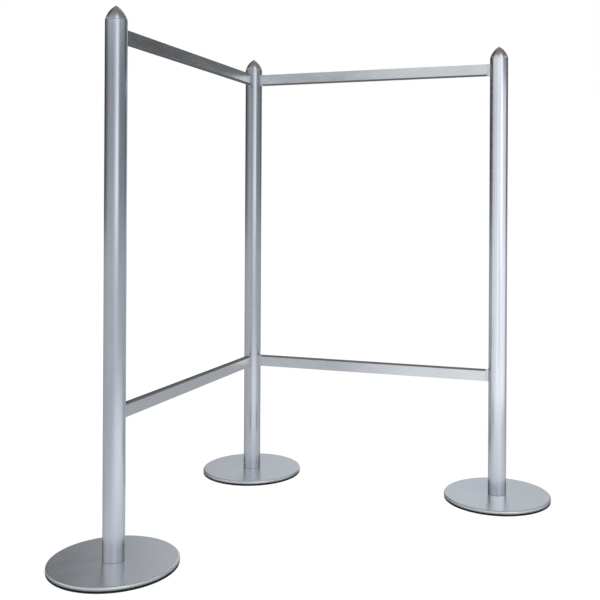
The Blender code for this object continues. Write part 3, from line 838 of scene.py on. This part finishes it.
# Lock pieces are laid out by their distance from the post's axis. "toward" is +1 where the post
# lies on the rail's +X side and -1 where it lies on the -X side.
def end_block(toward, inward, lock_height):
    half = RAIL_THICKNESS / 2
    saddle = TUBE_RADIUS + GAP
    widest = Vector((sqrt(saddle * saddle - half * half), half)).angle(Vector((1, 0)))
    steps = 20
    points = []
    for step in range(steps + 1):
        turn = widest * (2 * step / steps - 1)
        points.append(Vector((-toward * saddle * cos(turn), saddle * sin(turn), 0)))
    points.append(Vector((-toward * COLLAR_END, half, 0)))
    points.append(Vector((-toward * COLLAR_END, -half, 0)))
    collar = prism(points, Vector((0, 0, inward * RAIL_DEPTH)))
    long_edges = []
    for edge in collar.edges:
        start, end = (vertex.co for vertex in edge.verts)
        at_side = abs(abs(start.y) - half) < 1e-6 and abs(abs(end.y) - half) < 1e-6
        if at_side and start.y * end.y > 0 and abs(start.z - end.z) < 1e-6:
            long_edges.append(edge)
    bmesh.ops.bevel(
        collar, geom=long_edges, offset=RAIL_EDGE_ROUND, segments=4, profile=0.5, affect="EDGES"
    )
    tongue = block(
        (-toward * (COLLAR_END - 0.003), -TONGUE_HALF_WIDTH, inward * (RAIL_WALL + GAP)),
        (-toward * TONGUE_END, TONGUE_HALF_WIDTH, inward * (CHAMBER_TOP - GAP)),
    )
    channel_half = HOOK_THICKNESS / 2 + GAP
    channel = block(
        (-toward * (TUBE_RADIUS - 0.005), -channel_half, lock_height - HOOK_SHANK_HALF - GAP),
        (-toward * (TONGUE_END + 0.005), channel_half, lock_height + HOOK_SHANK_HALF + GAP),
    )
    bore_radius = CAM_HEAD_RADIUS + GAP
    near = HOOK_THICKNESS / 2
    bore = along_y(loft([circle(bore_radius, SMALL_SIDES, near), circle(bore_radius, SMALL_SIDES, half)]))
    placed(bore, Vector((-toward * LOCK_AXIS, 0, lock_height)))
    return carve(collar, joins=[tongue], cuts=[channel, bore])


def hook(toward):
    nose_bottom = -HOOK_SHANK_HALF - HOOK_NOSE_DROP
    outline = [
        (HOOK_NOSE_TIP, nose_bottom, 0.0014),
        (HOOK_NOSE_FACE, nose_bottom, 0.0006),
        (HOOK_NOSE_FACE, -HOOK_SHANK_HALF, 0.0004),
        (HOOK_TAIL, -HOOK_SHANK_HALF, 0.0012),
        (HOOK_TAIL, HOOK_SHANK_HALF, 0.0012),
        (HOOK_NOSE_TIP, HOOK_SHANK_HALF, 0.003),
    ]
    points = [Vector((-toward * x, -HOOK_THICKNESS / 2, z)) for x, z in fillet(outline)]
    plate = soften(prism(points, Vector((0, HOOK_THICKNESS, 0))), 0.0002)
    centre = LOCK_AXIS + CAM_THROW
    half_width = CAM_PIN_RADIUS + HOOK_WINDOW_SIDE_PLAY
    half_height = CAM_PIN_RADIUS + CAM_THROW + HOOK_WINDOW_END_PLAY
    window_outline = [
        (centre - half_width, -half_height, 0.0015),
        (centre + half_width, -half_height, 0.0015),
        (centre + half_width, half_height, 0.0015),
        (centre - half_width, half_height, 0.0015),
    ]
    window = [Vector((-toward * x, -HOOK_THICKNESS, z)) for x, z in fillet(window_outline)]
    return carve(plate, cuts=[prism(window, Vector((0, 2 * HOOK_THICKNESS, 0)))])


def lock_screw(toward):
    shift = -toward * CAM_THROW
    face = RAIL_THICKNESS / 2 - GAP
    shoulder = TONGUE_HALF_WIDTH - 0.0002
    head_foot = HOOK_THICKNESS / 2 + 2 * GAP
    pin_end = -HOOK_THICKNESS / 2
    rings = [
        hexagon(CAM_SOCKET_FLATS, SMALL_SIDES, face - CAM_SOCKET_DEPTH),
        hexagon(CAM_SOCKET_FLATS, SMALL_SIDES, face - 0.0003),
        circle(0.00195, SMALL_SIDES, face),
        circle(CAM_BOSS_RADIUS - 0.0003, SMALL_SIDES, face),
        circle(CAM_BOSS_RADIUS, SMALL_SIDES, face - 0.0003),
        circle(CAM_BOSS_RADIUS, SMALL_SIDES, shoulder),
        circle(CAM_HEAD_RADIUS - 0.0003, SMALL_SIDES, shoulder),
        circle(CAM_HEAD_RADIUS, SMALL_SIDES, shoulder - 0.0003),
        circle(CAM_HEAD_RADIUS, SMALL_SIDES, head_foot + 0.0003),
        circle(CAM_HEAD_RADIUS - 0.0003, SMALL_SIDES, head_foot),
        circle(CAM_PIN_RADIUS, SMALL_SIDES, head_foot, shift),
        circle(CAM_PIN_RADIUS, SMALL_SIDES, pin_end + 0.0003, shift),
        circle(CAM_PIN_RADIUS - 0.0003, SMALL_SIDES, pin_end, shift),
    ]
    return along_y(loft(rings))


def build_wing(wing_name, wing):
    turn = Matrix.Rotation(wing["turn"], 4, "Z")
    first, second = wing["posts"]
    for level_name, inward in LEVELS.items():
        name = f"{wing_name}_{level_name}"
        low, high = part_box(f"{name}_rail")
        edge = low.z if inward > 0 else high.z
        place = Matrix.Translation(post_axis(first) + Vector((0, 0, edge))) @ turn
        add_piece(f"{name}_rail", rail(inward), RAIL_METAL, matrix=place)
        add_piece(f"{name}_gasket", gasket(inward), GASKET_RUBBER, matrix=place)
        lock_height = inward * CHAMBER_MIDDLE - LOCK_DROP
        for post, toward in ((first, -1), (second, 1)):
            lock = f"{name}_{post}"
            upright = Matrix.Translation(post_axis(post) + Vector((0, 0, edge))) @ turn
            axis = upright @ Matrix.Translation(Vector((0, 0, lock_height)))
            screw_place = axis @ Matrix.Translation(Vector((-toward * LOCK_AXIS, 0, 0)))
            block_mesh = end_block(toward, inward, lock_height)
            add_piece(f"{lock}_end_block", block_mesh, CAST_METAL, matrix=upright)
            add_piece(f"{lock}_hook", hook(toward), STEEL, f"{lock}_hook", axis)
            screw = lock_screw(toward)
            add_piece(f"{lock}_lock_screw", screw, STEEL, f"{lock}_screw", screw_place)


for post_name in POSTS:
    build_post(post_name)
for wing_name, wing in WINGS.items():
    build_wing(wing_name, wing)


# ---- studio ---------------------------------------------------------------------------------
def sheet_material(name, colour, glow):
    """Plain stage surface: diffuse, with a share of its own light."""
    material = bpy.data.materials.new(name)
    material.use_nodes = True
    tree = material.node_tree
    shader = tree.nodes["Principled BSDF"]
    shader.inputs["Roughness"].default_value = 0.9
    shader.inputs["Specular IOR Level"].default_value = 0.0
    shader.inputs["Base Color"].default_value = (*colour, 1.0)
    shader.inputs["Emission Color"].default_value = (1.0, 1.0, 1.0, 1.0)
    shader.inputs["Emission Strength"].default_value = glow
    return material


def add_stage_plane(name, size, height, material):
    half = size / 2
    bm = bmesh.new()
    corners = [(-half, -half), (half, -half), (half, half), (-half, half)]
    bm.faces.new([bm.verts.new((x, y, height)) for x, y in corners])
    plane = bpy.data.objects.new(name, mesh_from(name, bm))
    plane.data.materials.append(material)
    bpy.context.scene.collection.objects.link(plane)
    return plane


def distance_from(tree, place, point):
    """Distance of the shaded place from a fixed point."""
    reach = tree.nodes.new("ShaderNodeVectorMath")
    reach.operation = "DISTANCE"
    reach.inputs[1].default_value = point
    tree.links.new(place, reach.inputs[0])
    return reach.outputs["Value"]


def build_floor():
    """A pale floor for the eye, and a greyer, half-glossy one that only the metal mirrors, with a painted
    pool of light and painted contact shadows round the discs.
    """
    pale = sheet_material("pale_floor", SEEN_FLOOR_TONE, SEEN_FLOOR_GLOW)
    seen = add_stage_plane("studio_floor", FLOOR_SIZE, SEEN_FLOOR_HEIGHT, pale)
    seen.visible_glossy = False
    seen.visible_diffuse = False
    grey = sheet_material("grey_floor", MIRRORED_FLOOR_TONE, 0.0)
    tree = grey.node_tree
    shader = tree.nodes["Principled BSDF"]
    shader.inputs["Metallic"].default_value = 0.35
    shader.inputs["Roughness"].default_value = 0.30
    place = tree.nodes.new("ShaderNodeTexCoord").outputs["Object"]
    # Painted pool of light: the mirrored floor's glow rises towards a point in front of the object.
    away = distance_from(tree, place, PAINTED_LIGHT_POOL_CENTRE)
    painted_light_pool = add_range(tree, away, (0, PAINTED_LIGHT_POOL_RADIUS), (PAINTED_LIGHT_POOL_GLOW, FLOOR_GLOW), smooth=True)
    tree.links.new(painted_light_pool, shader.inputs["Emission Strength"])
    # Painted contact shadow: darker colour and weaker glow on the mirrored floor next to each disc.
    nearest = distance_from(tree, place, post_axis(POSTS[0]))
    for post in POSTS[1:]:
        nearest = add_math(tree, "MINIMUM", nearest, distance_from(tree, place, post_axis(post)))
    painted_contact_shadow = add_range(tree, nearest, (BASE_RADIUS, BASE_RADIUS + PAINTED_CONTACT_SHADOW_REACH), smooth=True)
    tone = add_mix(tree, painted_contact_shadow, PAINTED_CONTACT_SHADOW_TONE, MIRRORED_FLOOR_TONE)
    tree.links.new(tone, shader.inputs["Base Color"])
    light = add_mix(tree, painted_contact_shadow, PAINTED_CONTACT_SHADOW_GLOW, MIRRORED_FLOOR_LIGHT)
    tree.links.new(light, shader.inputs["Emission Color"])
    mirrored = add_stage_plane("mirrored_floor", FLOOR_SIZE, MIRRORED_FLOOR_HEIGHT, grey)
    mirrored.visible_camera = False
    mirrored.visible_shadow = False


def room_ring(tree, table, turn):
    """Brightness round the room from (degrees, glow) pairs, a little cooler where it is brighter."""
    ramp = tree.nodes.new("ShaderNodeValToRGB")
    ramp.color_ramp.interpolation = "LINEAR"
    while len(ramp.color_ramp.elements) < len(table):
        ramp.color_ramp.elements.new(0.5)
    for element, (azimuth, glow) in zip(ramp.color_ramp.elements, table):
        element.position = (azimuth + 180) / 360
        cool = 0.02 + 0.05 * min(1.0, glow)
        element.color = (glow * (1 - cool), glow, glow * (1 + cool), 1.0)
    tree.links.new(turn, ramp.inputs["Fac"])
    return ramp.outputs["Color"]


def room_rise(tree, height):
    """The walls' share of brightness at a height."""
    rise = tree.nodes.new("ShaderNodeFloatCurve")
    points = rise.mapping.curves[0].points
    points[0].location, points[1].location = WALL_RISE[0], (1.0, WALL_RISE[-1][1])
    for place in WALL_RISE[1:]:
        points.new(*place)
    rise.mapping.update()
    tree.links.new(height, rise.inputs["Value"])
    return rise.outputs["Value"]


def build_room():
    """Grey walls with a soft window to the right of the camera, a pale frieze above them and a grey
    ceiling, which light and reflections see. The camera itself sees plain white.
    """
    world = bpy.data.worlds.new("studio_room")
    bpy.context.scene.world = world
    world.use_nodes = True
    tree = world.node_tree
    background = tree.nodes["Background"]
    split = tree.nodes.new("ShaderNodeSeparateXYZ")
    tree.links.new(tree.nodes.new("ShaderNodeTexCoord").outputs["Generated"], split.inputs["Vector"])
    height = split.outputs["Z"]
    backward = add_math(tree, "MULTIPLY", split.outputs["Y"], -1.0)
    turn = add_range(tree, add_math(tree, "ARCTAN2", split.outputs["X"], backward), (-pi, pi))
    walls = tree.nodes.new("ShaderNodeVectorMath")
    walls.operation = "SCALE"
    tree.links.new(room_ring(tree, ROOM, turn), walls.inputs["Vector"])
    tree.links.new(room_rise(tree, height), walls.inputs["Scale"])
    foot = add_range(tree, height, FRIEZE_FOOT, smooth=True)
    head = add_range(tree, height, FRIEZE_HEAD, smooth=True)
    frieze = room_ring(tree, FRIEZE, turn)
    banded = add_mix(tree, add_math(tree, "MULTIPLY", foot, head), walls.outputs["Vector"], frieze)
    ceiling = tuple(CEILING * tint for tint in CEILING_TINT)
    room = add_mix(tree, add_range(tree, height, CEILING_FADE, smooth=True), banded, ceiling)
    tree.links.new(room, background.inputs["Color"])
    white = tree.nodes.new("ShaderNodeBackground")
    white.inputs["Color"].default_value = (1, 1, 1, 1)
    path = tree.nodes.new("ShaderNodeLightPath")
    mix = tree.nodes.new("ShaderNodeMixShader")
    tree.links.new(path.outputs["Is Camera Ray"], mix.inputs["Fac"])
    tree.links.new(background.outputs["Background"], mix.inputs[1])
    tree.links.new(white.outputs["Background"], mix.inputs[2])
    tree.links.new(mix.outputs["Shader"], tree.nodes["World Output"].inputs["Surface"])


def add_softbox(name, location, target, size, glow, lit=None):
    """An even rectangle of light of the given brightness; lit limits it to some pieces."""
    light = bpy.data.lights.new(name, "AREA")
    light.shape = "RECTANGLE"
    light.size, light.size_y = size
    light.energy = glow * pi * size[0] * size[1]
    lamp = bpy.data.objects.new(name, light)
    lamp.location = location
    lamp.rotation_euler = (Vector(target) - Vector(location)).to_track_quat("-Z", "Y").to_euler()
    lamp.visible_camera = False
    bpy.context.scene.collection.objects.link(lamp)
    if lit:
        group = bpy.data.collections.new(name + "_lights")
        for piece in lit:
            group.objects.link(bpy.data.objects[piece])
        lamp.light_linking.receiver_collection = group


def build_camera():
    """Stands 3.2 m from the corner post, a little under one metre up, at the photograph's angle."""
    data = bpy.data.cameras.new("photo_view")
    data.sensor_width = CAMERA_SENSOR
    data.lens = CAMERA_LENS
    data.shift_x, data.shift_y = CAMERA_SHIFT
    data.clip_end = 100.0
    camera = bpy.data.objects.new("photo_view", data)
    camera.location = CAMERA_PLACE
    level = Matrix.Rotation(CAMERA_AZIMUTH, 4, "Z") @ Matrix.Rotation(radians(90), 4, "X")
    camera.rotation_euler = (level @ Matrix.Rotation(CAMERA_ROLL, 4, "Z")).to_euler()
    bpy.context.scene.collection.objects.link(camera)
    bpy.context.scene.camera = camera


build_floor()
build_room()
for softbox_name, place, target, size, glow, lit_part in SOFTBOXES:
    add_softbox(softbox_name, place, target, size, glow, LIT_PIECES[lit_part])
# The metal doesn't mirror the overhead light.
bpy.data.objects["overhead_softbox"].visible_glossy = False
build_camera()
bpy.context.scene.view_settings.view_transform = "Standard"

bpy.context.view_layer.update()
